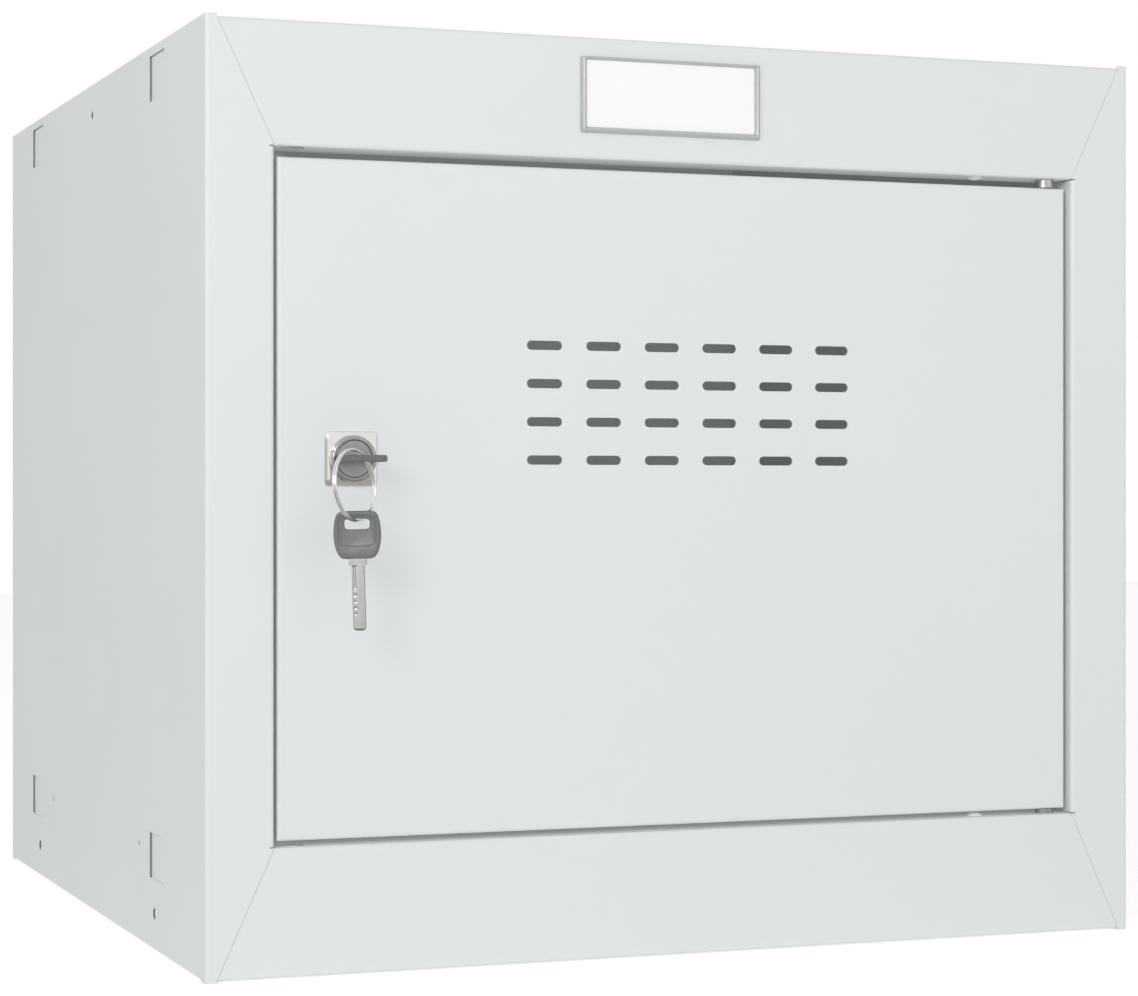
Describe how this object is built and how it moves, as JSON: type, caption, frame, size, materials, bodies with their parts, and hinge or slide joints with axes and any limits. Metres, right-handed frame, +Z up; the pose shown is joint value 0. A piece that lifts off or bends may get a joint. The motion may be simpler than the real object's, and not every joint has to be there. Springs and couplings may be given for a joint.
{
  "type": "locker",
  "caption": "Square sheet-steel locker with a mitred front frame, vented inset door on pivot pins, square cam lock with key, spare key on a split ring, and a bare label holder.",
  "frame": {"origin": "middle of the footprint of the whole object, on the ground; the footprint takes in the key and ring that stand out in front of the door", "axes": "+X to the right as seen from the front, +Y from the door to the back, +Z up"},
  "size_m": [0.4, 0.432, 0.365],
  "materials": {
    "paint": "fine powder coat, light grey",
    "plated_steel": "zinc plated",
    "bright_steel": "bright turned",
    "label_frame": "satin",
    "label_card": "plain card",
    "rubber": "matt",
    "bush_plastic": "moulded",
    "lock_chrome": "polished",
    "lock_core": "satin nickel",
    "key_metal": "nickel plated",
    "key_plastic": "moulded, fine grain",
    "ring_steel": "polished wire"
  },
  "bodies": {
    "carcass": {"left_side_panel": "paint", "right_side_panel": "paint", "top_panel": "paint", "floor_panel": "paint", "back_panel": "paint", "upper_hinge_plate": "plated_steel", "lower_hinge_plate": "plated_steel", "upper_hinge_pin": "bright_steel", "lower_hinge_pin": "bright_steel", "upper_hinge_rivet": "bright_steel", "lower_hinge_rivet": "bright_steel", "label_frame": "label_frame", "label_card": "label_card", "upper_door_buffer": "rubber", "lower_door_buffer": "rubber"},
    "door": {"door_pan": "paint", "door_stiffener": "paint", "upper_hinge_bush": "bush_plastic", "lower_hinge_bush": "bush_plastic", "lock_housing": "lock_chrome", "lock_washer": "plated_steel", "lock_nut": "plated_steel"},
    "lock_core": {"lock_plug": "lock_core", "lock_cam": "plated_steel", "cam_washer": "plated_steel", "cam_bolt": "plated_steel"},
    "key": {"key_blade": "key_metal", "key_bow": "key_plastic"},
    "ring": {"split_ring": "ring_steel"},
    "spare_key": {"spare_key_blade": "key_metal", "spare_key_bow": "key_plastic"}
  },
  "joints": [
    {"name": "door_hinge", "type": "hinge", "parent": "carcass", "child": "door", "pos_m": [0.164, -0.17699, 0.1825], "axis": [0, 0, 1], "range_deg": [0, 110]},
    {"name": "lock_turn", "type": "hinge", "parent": "door", "child": "lock_core", "pos_m": [-0.1423, -0.18679, 0.1976], "axis": [0, -1, 0], "range_deg": [0, 90]},
    {"name": "key_withdraw", "type": "slide", "parent": "lock_core", "child": "key", "axis": [0, -1, 0], "range_m": [0, 0.032]},
    {"name": "ring_hang", "type": "hinge", "parent": "key", "child": "ring", "pos_m": [-0.1423, -0.18679, 0.1976], "axis": [0, -1, 0], "range_deg": [-90, 0]},
    {"name": "spare_key_swing", "type": "hinge", "parent": "ring", "child": "spare_key", "pos_m": [-0.14745, -0.20757, 0.17405], "axis": [0.7694, 0.6388, 0], "range_deg": [-30, 30]}
  ],
  "couplings": [
    {"joint": "ring_hang", "follows": "lock_turn", "ratio": -1}
  ]
}
